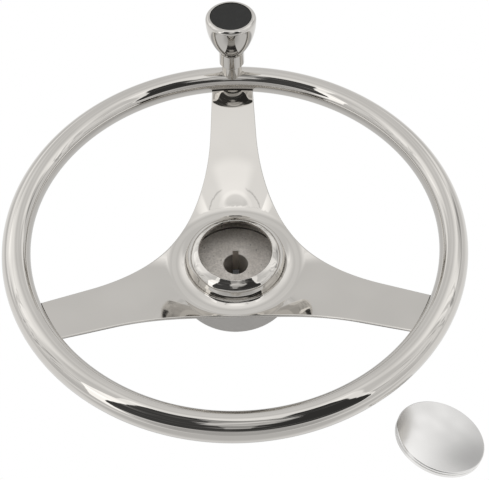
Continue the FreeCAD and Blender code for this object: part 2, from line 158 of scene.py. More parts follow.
class Shader:
    """A node tree of a material or of the world, built up from expressions."""

    def __init__(self, owner: bpy.types.Material | bpy.types.World, end: str) -> None:
        """Empties the owner's tree and adds its output node.

        Args:
            owner: The material or world.
            end: The type of its output node.
        """
        owner.use_nodes = True
        self.owner = owner
        self.tree = owner.node_tree
        self.tree.nodes.clear()
        self.end = self.tree.nodes.new(end)

    @classmethod
    def of_material(cls, name: str) -> "Shader":
        """The empty shader of a new material."""
        return cls(bpy.data.materials.new(name), "ShaderNodeOutputMaterial")

    def node(self, kind: str, settings: dict[str, Any] | None = None,
             sockets: dict[str | int, Any] | None = None) -> Wire:
        """Adds a node.

        Args:
            kind: The node's type.
            settings: Its settings, by name.
            sockets: Values or wires for its inputs, by name or number.

        Returns:
            The node's first output.
        """
        node = self.tree.nodes.new(kind)
        for name, value in (settings or {}).items():
            setattr(node, name, value)
        for name, value in (sockets or {}).items():
            self.plug(node.inputs[name], value)
        return Wire(self, node.outputs[0])

    def plug(self, socket: bpy.types.NodeSocket, value: Any) -> None:
        """Links a wire to a socket, or sets the socket to a value.

        Args:
            socket: The input socket.
            value: A wire, a number, a vector or a colour.
        """
        if isinstance(value, Wire):
            self.tree.links.new(value.socket, socket)
        elif isinstance(value, tuple) and socket.type == "RGBA":
            socket.default_value = (*value, 1.0)
        else:
            socket.default_value = value

    def maths(self, operation: str, *values: Wire | float) -> Wire:
        """One Math node on up to three values."""
        return self.node("ShaderNodeMath", {"operation": operation}, dict(enumerate(values)))

    def length(self, first: Wire, second: Wire) -> Wire:
        """The distance that two parts at right angles make."""
        return self.maths("SQRT", first * first + second * second)

    def mix(self, factor: Wire | float, first: Any, second: Any) -> Wire:
        """A colour between two, by the share of the second one."""
        return self.node("ShaderNodeMix", {"data_type": "RGBA"}, {0: factor, 6: first, 7: second}).output(2)

    def place(self) -> tuple[Wire, Wire, Wire]:
        """The point on the piece at rest, as three wires in metres."""
        return self.split(self.node("ShaderNodeTexCoord").output("Object"))

    def split(self, vector: Wire) -> tuple[Wire, Wire, Wire]:
        """The three parts of a vector."""
        first = self.node("ShaderNodeSeparateXYZ", None, {0: vector})
        return first, first.output(1), first.output(2)

    def join(self, x: Wire | float, y: Wire | float, z: Wire | float) -> Wire:
        """A vector from its three parts."""
        return self.node("ShaderNodeCombineXYZ", None, {0: x, 1: y, 2: z})

    def noise(self, where: Wire, grain: Grain) -> Wire:
        """A cloudy noise about 0.5."""
        return self.node("ShaderNodeTexNoise", {"noise_dimensions": "4D"}, {
            "Vector": where, "W": grain.seed, "Scale": grain.scale, "Detail": grain.detail,
            "Roughness": grain.rough})

    def bump(self, height: Wire, distance: float, under: Wire | None = None) -> Wire:
        """A normal tilted by a height.

        Args:
            height: The height, about 0 to 1.
            distance: What a height of 1 stands for, in metres.
            under: A normal that this one starts from.

        Returns:
            The normal.
        """
        sockets = {"Strength": 1.0, "Distance": distance, "Height": height}
        if under is not None:
            sockets["Normal"] = under
        return self.node("ShaderNodeBump", None, sockets)

    def surface(self, **sockets: Any) -> None:
        """Ends a material in one Principled shader.

        Args:
            sockets: Values or wires by socket name, with _ for a space.
        """
        named = {name.replace("_", " "): value for name, value in sockets.items()}
        shade = self.node("ShaderNodeBsdfPrincipled", None, named)
        self.plug(self.end.inputs["Surface"], shade)


@dataclass(frozen=True)
class PolishedSteel:
    """Mirror-polished stainless steel with faint polishing marks and haze."""

    name: str
    lay: Lay
    tint: Colour = (0.642, 0.62, 0.587)
    centre: Pair = (0.0, 0.0)
    roughness: float = 0.01
    haze: float = 0.02
    hazy: Pair = (0.42, 0.75)
    cloud: float = 0.04
    clouds: Grain = Grain(26.0, 2.0, 0.5, 3.1)
    marks: Grain = Grain(1.0, 3.0, 0.6)
    mark_roughness: float = 0.015
    mark_depth: float = 0.1
    grain_depth: float = 2.0e-6
    along: float = 40.0
    across: float = 2600.0
    ripple: float = 2.0e-6
    ripple_size: float = 0.012
    drawn: float = 0.0
    drawn_band: tuple[float, float, float] = (0.029, 0.0385, 0.0015)
    uneven: Grain = Grain(125.0, 0.6, 0.5, 5.5)
    joint_shade_radius: float = 1.0
    joint_shade_blur: float = 0.0002
    joint_shade_tone: Colour = (0.03, 0.028, 0.025)
    satin_and_shade_below: bool = False
    satin_grain: Grain = Grain(160.0, 3.0, 0.6, 8.2)
    # Darker than the polished tint: partly the satin finish, partly a painted shade on the down-facing sides
    satin_tones: tuple[Colour, Colour] = ((0.27, 0.25, 0.225), (0.38, 0.36, 0.33))
    satin_roughness: Pair = (0.38, 0.12)

    def material(self) -> bpy.types.Material:
        """Builds the finish.

        Returns:
            The material.
        """
        shader = Shader.of_material(self.name)
        x, y, z = shader.place()
        where = shader.join(x, y, z)
        radius = shader.length(x, y)
        marks = shader.noise(self._stretched(shader, x - self.centre[0], y - self.centre[1], z), self.marks)
        clouds = shader.noise(where, self.clouds)
        waves = shader.noise(where, Grain(1.0 / self.ripple_size, 0.0, 0.5, 7.7))
        roughness = self.roughness + marks * self.mark_roughness + clouds.rises(*self.hazy) * self.haze
        dull = tuple((1.0 - self.cloud) * part for part in self.tint)
        colour = shader.mix(clouds.rises(0.3, 0.7), self.tint, dull)
        height = marks * self.mark_depth
        if self.drawn:
            uneven = shader.noise(where, self.uneven)
            waves = waves + uneven * radius.within(*self.drawn_band) * (self.drawn / self.ripple)
        # Painted shade: a dark line on the plate next to the tube, standing in for the shade in the joint
        if self.joint_shade_radius < 1.0:
            joint_shade = radius.rises(self.joint_shade_radius - self.joint_shade_blur, self.joint_shade_radius)
            colour = shader.mix(joint_shade, colour, self.joint_shade_tone)
            roughness = roughness + joint_shade * 0.3
        if self.satin_and_shade_below:
            below = self._below(shader)
            grain = shader.noise(where, self.satin_grain)
            # Down-facing sides: a satin finish left as pressed, and darker tones there that are a painted
            # shade
            colour = shader.mix(below, colour, shader.mix(grain, *self.satin_tones))
            plain, grainy = self.satin_roughness
            roughness = roughness + below * (plain + grain * grainy)
            height = height + below * grain
        normal = shader.bump(height, self.grain_depth, shader.bump(waves, self.ripple))
        shader.surface(Base_Color=colour, Metallic=1.0, Roughness=roughness, Normal=normal)
        return shader.owner

    def _below(self, shader: Shader) -> Wire:
        """A mask of the surfaces that face down, which are left as they were pressed and get a painted shade.
        """
        _, _, facing = shader.split(shader.node("ShaderNodeTexCoord").output("Normal"))
        return facing.falls(-0.045, -0.02)

    def _stretched(self, shader: Shader, x: Wire, y: Wire, z: Wire) -> Wire:
        """A place in which the marks' noise is long one way and fine the other.

        Args:
            shader: The finish's shader.
            x: Metres to the right of the centre.
            y: Metres away from the centre.
            z: Metres up.

        Returns:
            The stretched place.
        """
        radius = shader.length(x, y)
        turn = shader.maths("ARCTAN2", x, y)
        if self.lay in GIRTHS:
            return shader.join(turn * GIRTHS[self.lay] * self.along, radius * self.across, z * self.across)
        folded = shader.maths("WRAP", turn, pi / 3.0, -pi / 3.0)
        return shader.join(radius * shader.maths("COSINE", folded) * self.along,
                           radius * shader.maths("SINE", folded) * self.across, z * self.along)


@dataclass(frozen=True)
class HubCasting:
    """The hub's three surfaces: satin outside, rough cast floor, and the bored and broached hole."""

    name: str
    floor_height: float
    barrel_radius: float
    bore_radius: float
    corner_shade_radius: float
    corner_shade_top: float = 0.0262
    key_half_width: float = 0.0024
    key_reach: float = 0.0127
    blur: float = 0.0003
    cast_tones: tuple[Colour, Colour] = ((0.70, 0.655, 0.60), (0.90, 0.85, 0.79))
    speckle_tone: Colour = (0.42, 0.385, 0.35)
    pit_tone: Colour = (0.22, 0.20, 0.18)
    corner_shade_tone: Colour = (0.05, 0.045, 0.04)
    edge_highlight_tone: Colour = (0.95, 0.92, 0.87)
    satin_tones: tuple[Colour, Colour] = ((0.56, 0.545, 0.52), (0.62, 0.60, 0.575))
    reamed_tones: tuple[Colour, Colour] = ((0.42, 0.39, 0.355), (0.56, 0.52, 0.47))
    key_light_tone: Colour = (0.93, 0.87, 0.80)
    sand: Grain = Grain(1100.0, 3.0, 0.6, 1.3)
    blotches: Grain = Grain(95.0, 4.0, 0.6, 5.2)
    pits: Grain = Grain(420.0, 1.0, 0.5, 9.4)
    speckles: Grain = Grain(520.0, 2.0, 0.7, 3.6)
    depth: float = 4.0e-5

    def material(self) -> bpy.types.Material:
        """Builds the finish.

        Returns:
            The material.
        """
        shader = Shader.of_material(self.name)
        x, y, z = shader.place()
        where = shader.join(x, y, z)
        radius = shader.length(x, y)
        outside = radius.rises(self.barrel_radius - 0.0018, self.barrel_radius - 0.0012)
        bore = radius.falls(self.bore_radius + 0.0001, self.bore_radius + 0.0004)
        key = (abs(x).falls(self.key_half_width, self.key_half_width + 0.0001) * y.rises(0.0, 0.001)
               * radius.falls(self.key_reach, self.key_reach + 0.0002))
        below = z.falls(self.floor_height - self.blur, self.floor_height - 0.0001)
        cut = shader.maths("MAXIMUM", bore, key) * below
        # Painted highlight: a pale ring round the bore's upper edge
        edge = radius.falls(self.bore_radius + self.blur, self.bore_radius + 2.0 * self.blur)
        # Painted shade: a near-black ring round the cast floor's outer corner, under the collar
        corner = (radius.rises(self.corner_shade_radius - 0.0012, self.corner_shade_radius - 0.0004)
                  * z.falls(self.corner_shade_top, self.corner_shade_top + 0.0002))
        sand = shader.noise(where, self.sand)
        blotches = shader.noise(where, self.blotches)
        pits = shader.noise(where, self.pits).rises(0.66, 0.74)
        speckles = shader.noise(where, self.speckles).rises(0.35, 0.65)
        cast = shader.mix(blotches.rises(0.3, 0.7), *self.cast_tones)
        # Speckles and pits are the casting's own; the corner's tone is a painted shade and the edge's tone a
        # painted highlight
        for share, tone in ((speckles * 0.40, self.speckle_tone), (pits * 0.6, self.pit_tone),
                            (corner * 0.9, self.corner_shade_tone), (edge * 0.7, self.edge_highlight_tone)):
            cast = shader.mix(share, cast, tone)
        satin = shader.mix(shader.noise(where, Grain(60.0)), *self.satin_tones)
        reamed = shader.mix(shader.noise(where, Grain(500.0)), *self.reamed_tones)
        # Painted light: the keyway's walls are made near white, lighter than the bore's
        reamed = shader.mix(key * 0.9, reamed, self.key_light_tone)
        colour = shader.mix(cut, shader.mix(outside, cast, satin), reamed)
        turning = shader.noise(shader.join(x * 30.0, y * 30.0, z * 3200.0), Grain(1.0))
        rough = (1.0 - outside) * (0.46 + sand * 0.2) + outside * (0.30 + turning * 0.12)
        height = (1.0 - outside) * (sand + blotches * 1.5 - pits * 0.6) + outside * (turning * 0.08)
        shader.surface(Base_Color=colour, Metallic=outside * 0.65 + 0.25, Roughness=rough,
                       Normal=shader.bump(height, self.depth))
        return shader.owner


@dataclass(frozen=True)
class Plastic:
    """A moulded or turned plastic with a fine grain."""

    name: str
    tone: Colour
    roughness: float
    grain_depth: float
    grain_size: float = 0.0004
    shine: float = 0.5
    lighter: float = 1.25
    clouds: Grain = Grain(130.0, 2.0, 0.5, 6.6)

    def material(self) -> bpy.types.Material:
        """Builds the finish.

        Returns:
            The material.
        """
        shader = Shader.of_material(self.name)
        where = shader.join(*shader.place())
        fine = shader.noise(where, Grain(1.0 / self.grain_size, 2.0, 0.6, 2.2))
        clouds = shader.noise(where, self.clouds)
        light = tuple(self.lighter * part for part in self.tone)
        colour = shader.mix(clouds.rises(0.3, 0.75), self.tone, light)
        rough = self.roughness + fine * 0.08 + clouds * 0.06
        shader.surface(Base_Color=colour, Roughness=rough, Specular_IOR_Level=self.shine,
                       Normal=shader.bump(fine, self.grain_depth))
        return shader.owner


@dataclass(frozen=True)
class BareSteel:
    """Machined or rolled steel, brighter or darker along its fine tool marks."""

    name: str
    tone: Colour
    roughness: float
    centre: Pair = (0.0, 0.0)
    pitch: float = 0.0003
    mark_depth: float = 1.0e-6
    darker: float = 0.8
    stains: Grain = Grain(90.0, 3.0, 0.5, 4.4)

    def material(self) -> bpy.types.Material:
        """Builds the finish.

        Returns:
            The material.
        """
        shader = Shader.of_material(self.name)
        x, y, z = shader.place()
        x = x - self.centre[0]
        y = y - self.centre[1]
        radius = shader.length(x, y)
        turned = shader.join(shader.maths("ARCTAN2", x, y) * 1.5, radius / self.pitch, z / self.pitch)
        marks = shader.noise(turned, Grain(1.0))
        stain = shader.noise(shader.join(x, y, z), self.stains)
        dark = tuple(self.darker * part for part in self.tone)
        colour = shader.mix(stain.rises(0.35, 0.8), self.tone, dark)
        rough = self.roughness + marks * 0.1 + stain * 0.05
        shader.surface(Base_Color=colour, Metallic=1.0, Roughness=rough,
                       Normal=shader.bump(marks, self.mark_depth))
        return shader.owner


class Outline:
    """The half section of a turned piece: runs of radius, height and outward normal.

    The section is walked clockwise, with radius to the right and height up, so that the outside
    lies on the left of the walk.
    """

    def __init__(self) -> None:
        """Starts with no runs."""
        self.runs: list[np.ndarray] = []

    def path(self, *corners: Corner, fine: float = 6.0) -> "Outline":
        """Adds straight runs through corners, rounded by each corner's own radius.

        Args:
            corners: Radius, height and rounding of each corner; the ends have no rounding.
            fine: Degrees between two points of a rounding.

        Returns:
            The outline itself.
        """
        places = [np.array(corner[:2]) for corner in corners]
        start = places[0]
        for corner, following, rounding in zip(places[1:-1], places[2:], [c[2] for c in corners[1:-1]]):
            before = (corner - start) / np.linalg.norm(corner - start)
            after = (following - corner) / np.linalg.norm(following - corner)
            turn = atan2(before[0] * after[1] - before[1] * after[0], before @ after)
            if rounding <= 0 or abs(turn) < TINY:
                self._straight(start, corner)
                start = corner
                continue
            reach = rounding * tan(abs(turn) / 2)
            first = corner - before * reach
            side = 1.0 if turn > 0 else -1.0
            middle = first + side * rounding * np.array((-before[1], before[0]))
            self._straight(start, first)
            begin = atan2(first[1] - middle[1], first[0] - middle[0])
            self._bow(middle, rounding, begin, begin + turn, -side, fine)
            start = corner + after * reach
        self._straight(start, places[-1])
        return self

    def arc(self, centre: Pair, radius: float, begin: float, end: float,
            fine: float = 6.0) -> "Outline":
        """Adds an arc that bulges outward.

        Args:
            centre: Radius and height of the arc's centre.
            radius: The arc's own radius.
            begin: The angle where it starts, in radians.
            end: The angle where it ends.
            fine: Degrees between two points.

        Returns:
            The outline itself.
        """
        self._bow(np.array(centre), radius, begin, end, 1.0, fine)
        return self

    def _straight(self, start: np.ndarray, end: np.ndarray) -> None:
        """Adds a straight run, if it has a length.

        Args:
            start: Its first point.
            end: Its last point.
        """
        run = end - start
        length = np.linalg.norm(run)
        if length > TINY:
            out = (-run[1] / length, run[0] / length)
            self.runs.append(np.array([(*start, *out), (*end, *out)]))

    def _bow(self, middle: np.ndarray, radius: float, begin: float, end: float, side: float,
             fine: float) -> None:
        """Adds an arc.

        Args:
            middle: Its centre.
            radius: Its radius.
            begin: Its first angle.
            end: Its last angle.
            side: 1 where the outside is away from the centre, -1 where it is toward it.
            fine: Degrees between two points.
        """
        count = max(3, int(abs(end - begin) / radians(fine)) + 2)
        angles = np.linspace(begin, end, count)
        ways = np.stack([np.cos(angles), np.sin(angles)], 1)
        self.runs.append(np.hstack([middle + ways * radius, ways * side]))


class Shell:
    """A mesh of grids, welded where they meet, which keeps the exact normal at every corner."""

    def __init__(self) -> None:
        """Starts with nothing."""
        self.points: list[np.ndarray] = []
        self.normals: list[np.ndarray] = []
        self.quads: list[np.ndarray] = []
        self.count = 0

    def grid(self, points: np.ndarray, normals: np.ndarray) -> "Shell":
        """Adds a grid of four-sided faces, wound to agree with its normals.

        Args:
            points: Rows and columns of points, in millimetres.
            normals: The outward normal at each point.

        Returns:
            The shell itself.
        """
        rows, columns, _ = points.shape
        index = np.arange(rows * columns).reshape(rows, columns) + self.count
        quads = np.stack([index[:-1, :-1], index[:-1, 1:], index[1:, 1:], index[1:, :-1]], -1)
        across = np.cross(points[1:, 1:] - points[:-1, :-1], points[1:, :-1] - points[:-1, 1:])
        if (across * normals[:-1, :-1]).sum() < 0:
            quads = quads[..., ::-1]
        self.points.append(points.reshape(-1, 3))
        self.normals.append(normals.reshape(-1, 3))
        self.quads.append(quads.reshape(-1, 4))
        self.count += rows * columns
        return self

    def turned(self, outline: Outline, steps: int, centre: Pair = (0.0, 0.0)) -> "Shell":
        """Adds an outline turned about an upright axis.

        Args:
            outline: The half section.
            steps: Faces in a full turn.
            centre: Where the axis stands.

        Returns:
            The shell itself.
        """
        angles = pi / 2 + 2 * pi * (np.arange(steps + 1) % steps) / steps
        ways = np.stack([np.cos(angles), np.sin(angles)], 1)
        for run in outline.runs:
            points = np.zeros((len(run), steps + 1, 3))
            normals = np.zeros_like(points)
            points[..., :2] = run[:, None, 0, None] * ways[None] + np.array(centre)
            points[..., 2] = run[:, None, 1]
            normals[..., :2] = run[:, None, 2, None] * ways[None]
            normals[..., 2] = run[:, None, 3]
            self.grid(points, normals)
        return self

    def build(self, name: str, finish: bpy.types.Material, placing: Matrix | None = None) -> bpy.types.Object:
        """Welds the grids and makes the object.

        Args:
            name: The piece's name.
            finish: Its material.
            placing: Where a piece that is made about the origin goes, in millimetres.

        Returns:
            The new object.
        """
        points = np.vstack(self.points)
        normals = np.vstack(self.normals)
        if placing is not None:
            turn = np.array(placing.to_3x3())
            points = points @ turn.T + np.array(placing.to_translation())
            normals = normals @ turn.T
        points = points * METRES
        cells = np.floor(points / WELD + WELD_SHIFT).astype(np.int64)
        _, first, welded = np.unique(cells, axis=0, return_index=True, return_inverse=True)
        welded = welded.reshape(-1)
        faces: list[list[int]] = []
        corners: list[int] = []
        for quad in np.vstack(self.quads):
            ring = [corner for place, corner in enumerate(quad) if welded[corner] != welded[quad[place - 1]]]
            if len(ring) > 2:
                faces.append([int(welded[corner]) for corner in ring])
                corners.extend(ring)
        mesh = bpy.data.meshes.new(name)
        mesh.from_pydata(points[first].tolist(), [], faces)
        mesh.polygons.foreach_set("use_smooth", [True] * len(mesh.polygons))
        mesh.normals_split_custom_set(normals[corners].tolist())
        mesh.materials.append(finish)
        piece = bpy.data.objects.new(name, mesh)
        bpy.context.scene.collection.objects.link(piece)
        return piece


def seat(piece: bpy.types.Object, body: str, slot: str, *nodes: str) -> None:
    """Puts a finished piece on its body in the place of the nodes that it stands for.

    Args:
        piece: The new object.
        body: The body that it moves with.
        slot: Not used.
        nodes: The nodes that it replaces.
    """
    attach(piece, body)
    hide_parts(*nodes)
    log.info("%s: %d faces on %s", piece.name, len(piece.data.polygons), body)


def dress(finish: bpy.types.Material, *nodes: str) -> None:
    """Gives nodes of the frame their finish.

    Args:
        finish: The material for their surfaces.
        nodes: The nodes' names.
    """
    for node in nodes:
        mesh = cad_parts[node].data
        if not mesh.materials:
            mesh.materials.append(finish)
        for index in range(len(mesh.materials)):
            mesh.materials[index] = finish
        log.info("%s: dressed in %s", node, finish.name)


@dataclass
class Rim:
    """The closed ring of round tube."""

    outer_diameter: float = 343.0
    tube_diameter: float = 20.6
    height: float = 68.4
    steps_round: int = 360
    steps_across: int = 72

    @property
    def ring_radius(self) -> float:
        """The radius of the tube's centre line."""
        return (self.outer_diameter - self.tube_diameter) / 2

    @property
    def tube_radius(self) -> float:
        """Half the tube's diameter."""
        return self.tube_diameter / 2

    @property
    def crest(self) -> float:
        """The height of the tube's top."""
        return self.height + self.tube_radius

    def build(self) -> None:
        """Builds and dresses the tube."""
        ring = Outline().arc((self.ring_radius, self.height), self.tube_radius, pi, -pi,
                             360.0 / self.steps_across)
        finish = PolishedSteel("polished_tube", Lay.ALONG_RIM).material()
        tube = Shell().turned(ring, self.steps_round).build("rim", finish)
        seat(tube, "wheel", "polished_tube", "rim_tube")


@dataclass(frozen=True)
class Face:
    """A side of the sheet: how far it lies under the upper surface, and 1 where it faces up, else -1."""

    below: float
    up: float


@dataclass
class Spider:
    """The dished plate: three flaring spokes about a drawn collar, pressed from one sheet."""

    rim: Rim
    thickness: float = 2.3
    end_width: float = 34.0
    flare: float = radians(2.86)
    end_drop: float = 2.3
    waist_radius: float = 51.3
    opening_diameter: float = 56.6
    floor_height: float = 25.4
    lip_rise: float = 18.4
    collar_diameter: float = 76.0
    bend_rise: float = 10.5
    collar_draft: float = radians(3.0)
    crown_rise: float = 2.1
    bend_radius: float = 2.6
    foot_radius: float = 2.5
    pad_width: float = 9.5
    pad_tilt: float = radians(12.0)
    dish_rise: float = 2.8
    dish_radius: float = 22.0
    lip_rounding: float = 0.45
    edge_rounding: float = 0.9
    weld_depth: float = 0.9
    joint_shade_width: float = 0.6
    collar_edge: float = 40.9
    fan_reach: float = 50.0
    fan_steps: int = 36
    waist_steps: int = 44
    straight_steps: int = 24
    width_steps: int = 16
    rounding_steps: int = 7

    def build(self) -> None:
        """Builds and dresses the plate."""
        shell = Shell().turned(self._collar(), 6 * self.fan_steps)
        for half in (1.0, -1.0):
            for spoke in range(3):
                self._add_half_spoke(shell, spoke, half)
        # Where the plate's painted joint shade begins, a little short of the tube
        joint_shade_radius = (self.rim.ring_radius - self.rim.tube_radius - self.joint_shade_width) * METRES
        finish = PolishedSteel("polished_plate", Lay.ALONG_SPOKES, ripple=6.0e-6, ripple_size=0.02,
                               drawn=3.2e-4, joint_shade_radius=joint_shade_radius, satin_and_shade_below=True).material()
        seat(shell.build("spider", finish), "wheel", "polished_plate", "spider_plate")

    def _corners(self) -> tuple[list[Vector], list[float]]:
        """Corners of the upper surface from the lip to the spoke's end, and their radii.

        Returns:
            The corners, as radius and height, and the radii of the inner ones.
        """
        lip = Vector((self.opening_diameter / 2, self.floor_height + self.lip_rise))
        bend = Vector((self.collar_diameter / 2, self.floor_height + self.bend_rise))
        chord = (bend - lip).normalized()
        crown = (lip + bend) / 2 + Vector((-chord.y, chord.x)) * self.crown_rise
        foot_height = self.floor_height + self.dish_rise + self.pad_width * tan(self.pad_tilt)
        foot = Vector((bend.x + (bend.y - foot_height) * tan(self.collar_draft), foot_height))
        dish = Vector((foot.x + self.pad_width, self.floor_height + self.dish_rise))
        end = Vector((self.rim.ring_radius - self.rim.tube_radius, self.rim.height - self.end_drop))
        half_turn = (crown - lip).angle(bend - crown) / 2
        crown_radius = ((bend - crown).length - self.bend_radius) / tan(half_turn)
        return [lip, crown, bend, foot, dish, end], [crown_radius, self.bend_radius, self.foot_radius]

    def _underside(self, corners: list[Vector]) -> list[Vector]:
        """The same corners on the underside of the sheet.

        Args:
            corners: The corners of the upper surface.

        Returns:
            The corners one thickness below them, across the sheet.
        """
        runs = [(after - before).normalized() for before, after in zip(corners, corners[1:])]
        downs = [Vector((run.y, -run.x)) for run in runs]
        lower = [corners[0] + downs[0] * self.thickness]
        for corner, down, following in zip(corners[1:], downs, downs[1:]):
            lower.append(corner + (down + following) * self.thickness / (1 + down.dot(following)))
        lower.append(corners[-1] + downs[-1] * self.thickness)
        return lower

    def _dish(self) -> tuple[float, float, float]:
        """The bend between the pad round the collar, which falls outward, and the rising spokes.

        Returns:
            The radius and height of the bend's centre, and the spokes' slope in radians.
        """
        corners, _ = self._corners()
        corner = corners[-2]
        run = corners[-1] - corner
        slope = atan2(run.y, run.x)
        reach = self.dish_radius * tan((slope + self.pad_tilt) / 2)
        radius = corner.x - reach * cos(self.pad_tilt) + self.dish_radius * sin(self.pad_tilt)
        height = corner.y + reach * sin(self.pad_tilt) + self.dish_radius * cos(self.pad_tilt)
        return radius, height, slope

    def _sheet_at(self, radius: np.ndarray, below: float) -> Grid:
        """The height and the slope of the dished sheet.

        Args:
            radius: Distances from the wheel's axis.
            below: Distance under the upper surface, across the sheet.

        Returns:
            The height at each radius, and the slope in radians, below 0 where the pad falls outward.
        """
        middle, centre, slope = self._dish()
        reach = self.dish_radius + below
        lean = np.arcsin(np.clip((radius - middle) / reach, -sin(self.pad_tilt), sin(slope)))
        straight = radius - middle - reach * np.sin(lean)
        return centre - reach * np.cos(lean) + straight * np.tan(lean), lean

    def _collar(self) -> Outline:
        """The collar's section, from the underside past the lip to the upper surface.

        Returns:
            The half section.
        """
        upper, radii = self._corners()
        lower = self._underside(upper)
        sheet = self.thickness
        edge = self.collar_edge
        low, high = (float(self._sheet_at(np.array(edge), below)[0]) for below in (sheet, 0.0))
        under = [(edge, low, 0.0), (*lower[3], radii[2] + sheet), (*lower[2], radii[1] - sheet),
                 (*lower[1], radii[0] - sheet), (*lower[0], self.lip_rounding)]
        over = [(*upper[0], self.lip_rounding), (*upper[1], radii[0]), (*upper[2], radii[1]),
                (*upper[3], radii[2]), (edge, high, 0.0)]
        return Outline().path(*under, *over, fine=3.0)

    def _edge(self) -> Grid:
        """Points and outward normals of the outline, from a waist's middle to a spoke's end.

        Returns:
            The points and the normals, each as distances along and across the spoke.
        """
        flare = tan(self.flare)
        slant = hypot(1, flare)
        end_radius = self.rim.ring_radius - self.rim.tube_radius
        axis_width = self.end_width / 2 + flare * end_radius
        reach = slant - sin(pi / 3) - flare * cos(pi / 3)
        centre_distance = (slant * self.waist_radius - axis_width) / reach
        arc_radius = centre_distance - self.waist_radius
        centre = centre_distance * np.array((cos(pi / 3), sin(pi / 3)))
        tangent = centre_distance * cos(pi / 3) - arc_radius * flare / slant
        waist = self.waist_radius * cos(pi / 3)
        fan = np.linspace(waist, self.fan_reach, self.fan_steps + 1)
        bow = np.linspace(self.fan_reach, tangent, self.waist_steps + 1)[1:]
        along = np.concatenate([fan, bow])
        across = centre[1] - np.sqrt(arc_radius ** 2 - (along - centre[0]) ** 2)
        arc = np.stack([along, across], 1)
        last = end_radius + self.weld_depth
        along = np.linspace(tangent, last, self.straight_steps + 1)[1:]
        straight = np.stack([along, axis_width - flare * along], 1)
        outward = np.tile((flare / slant, 1 / slant), (len(straight), 1))
        normals = np.vstack([(centre - arc) / arc_radius, outward])
        return np.vstack([arc, straight]), normals

    def _spine(self, edge: np.ndarray) -> np.ndarray:
        """The inner ends of the rungs: round the collar, then out along the spoke's middle.

        Args:
            edge: The points of the outline that the rungs go to.

        Returns:
            As many points, along and across the spoke.
        """
        angles = np.linspace(pi / 3, 0.0, self.fan_steps + 1)
        ring = self.collar_edge * np.stack([np.cos(angles), np.sin(angles)], 1)
        outer = edge[self.fan_steps + 1:, 0]
        share = (outer - edge[self.fan_steps, 0]) / (outer[-1] - edge[self.fan_steps, 0])
        along = self.collar_edge + share * (outer[-1] - self.collar_edge)
        return np.vstack([ring, np.stack([along, np.zeros_like(along)], 1)])

    def _sheet_normals(self, places: np.ndarray, face: Face) -> np.ndarray:
        """The dished surface's normals.

        Args:
            places: Points along and across the spoke.
            face: The side of the sheet.

        Returns:
            The normals, along, across and up.
        """
        radius = np.linalg.norm(places, axis=-1, keepdims=True)
        _, lean = self._sheet_at(radius, face.below)
        return face.up * np.concatenate([-np.sin(lean) * places / radius, np.cos(lean)], -1)

    def _fillet(self, edge: np.ndarray, out: np.ndarray, face: Face) -> Grid:
        """The rounding between a broad surface and the sheet's edge.

        Args:
            edge: Points of the outline.
            out: Its outward normals.
            face: The side of the sheet.

        Returns:
            Points and normals, a row for each point of the outline, from the surface to the edge.
        """
        inner = edge - out * self.edge_rounding
        broad = self._sheet_normals(inner, face)
        heights, _ = self._sheet_at(np.linalg.norm(inner, axis=1), face.below)
        heights = heights - (broad[:, :2] * (edge - inner)).sum(1) / broad[:, 2]
        corner = np.concatenate([edge, heights[:, None]], 1)
        wall = np.concatenate([out, np.zeros((len(out), 1))], 1)
        cosine = (broad * wall).sum(1, keepdims=True)
        centre = corner - self.edge_rounding * (broad + wall) / (1 + cosine)
        angle = np.arccos(cosine)
        turns = [(np.sin((1 - share) * angle) * broad + np.sin(share * angle) * wall) / np.sin(angle)
                 for share in np.linspace(0.0, 1.0, self.rounding_steps + 1)]
        normals = np.stack(turns, 1)
        return centre[:, None] + self.edge_rounding * normals, normals

    def _broad(self, spine: np.ndarray, rim: np.ndarray, face: Face) -> Grid:
        """One side of the sheet between the spine and the rounding of its edge.

        Args:
            spine: The inner ends of the rungs.
            rim: The rounding's first points, in which the rungs end.
            face: The side of the sheet.

        Returns:
            Points and normals, a row for each rung.
        """
        shares = np.linspace(0.0, 1.0, self.width_steps + 1)[None, :, None]
        flat = spine[:, None] * (1 - shares) + rim[:, None, :2] * shares
        heights, _ = self._sheet_at(np.linalg.norm(flat, axis=-1), face.below)
        points = np.concatenate([flat, heights[..., None]], -1)
        points[:, -1] = rim
        return points, self._sheet_normals(flat, face)

    def _add_half_spoke(self, shell: Shell, spoke: int, half: float) -> None:
        """Adds half a spoke with half of the waist beside it.

        Args:
            shell: The shell that it goes to.
            spoke: 0 for the twelve o'clock spoke, then counter-clockwise.
            half: 1 for the side on the left of the spoke, -1 for the other.
        """
        edge, out = self._edge()
        spine = self._spine(edge)
        turn = pi / 2 + spoke * 2 * pi / 3
        along, across = (cos(turn), sin(turn), 0.0), (-half * sin(turn), half * cos(turn), 0.0)
        basis = np.array([along, across, (0.0, 0.0, 1.0)])
        faces = (Face(0.0, 1.0), Face(self.thickness, -1.0))
        top, low = (self._fillet(edge, out, face) for face in faces)
        wall = tuple(np.stack([first[:, -1], last[:, -1]], 1) for first, last in zip(top, low))
        over, under = (self._broad(spine, rounding[0][:, 0], face)
                       for rounding, face in zip((top, low), faces))
        end = np.stack([np.vstack([broad[0][-1], rounding[0][-1]])
                        for broad, rounding in ((over, top), (under, low))])
        end_normals = np.broadcast_to(np.array((1.0, 0.0, 0.0)), end.shape)
        for points, normals in (top, low, wall, over, under, (end, end_normals)):
            shell.grid(points @ basis, normals @ basis)


@dataclass
class Hub:
    """The casting under the plate, a node of the frame that keeps its shape."""

    floor_height: float = 0.0254
    barrel_radius: float = 0.0455
    bore_radius: float = 0.009525
    corner_shade_radius: float = 0.0357

    def build(self) -> None:
        """Dresses the casting."""
        dress(HubCasting("cast_hub", self.floor_height, self.barrel_radius, self.bore_radius,
                         self.corner_shade_radius).material(), "hub_casting")


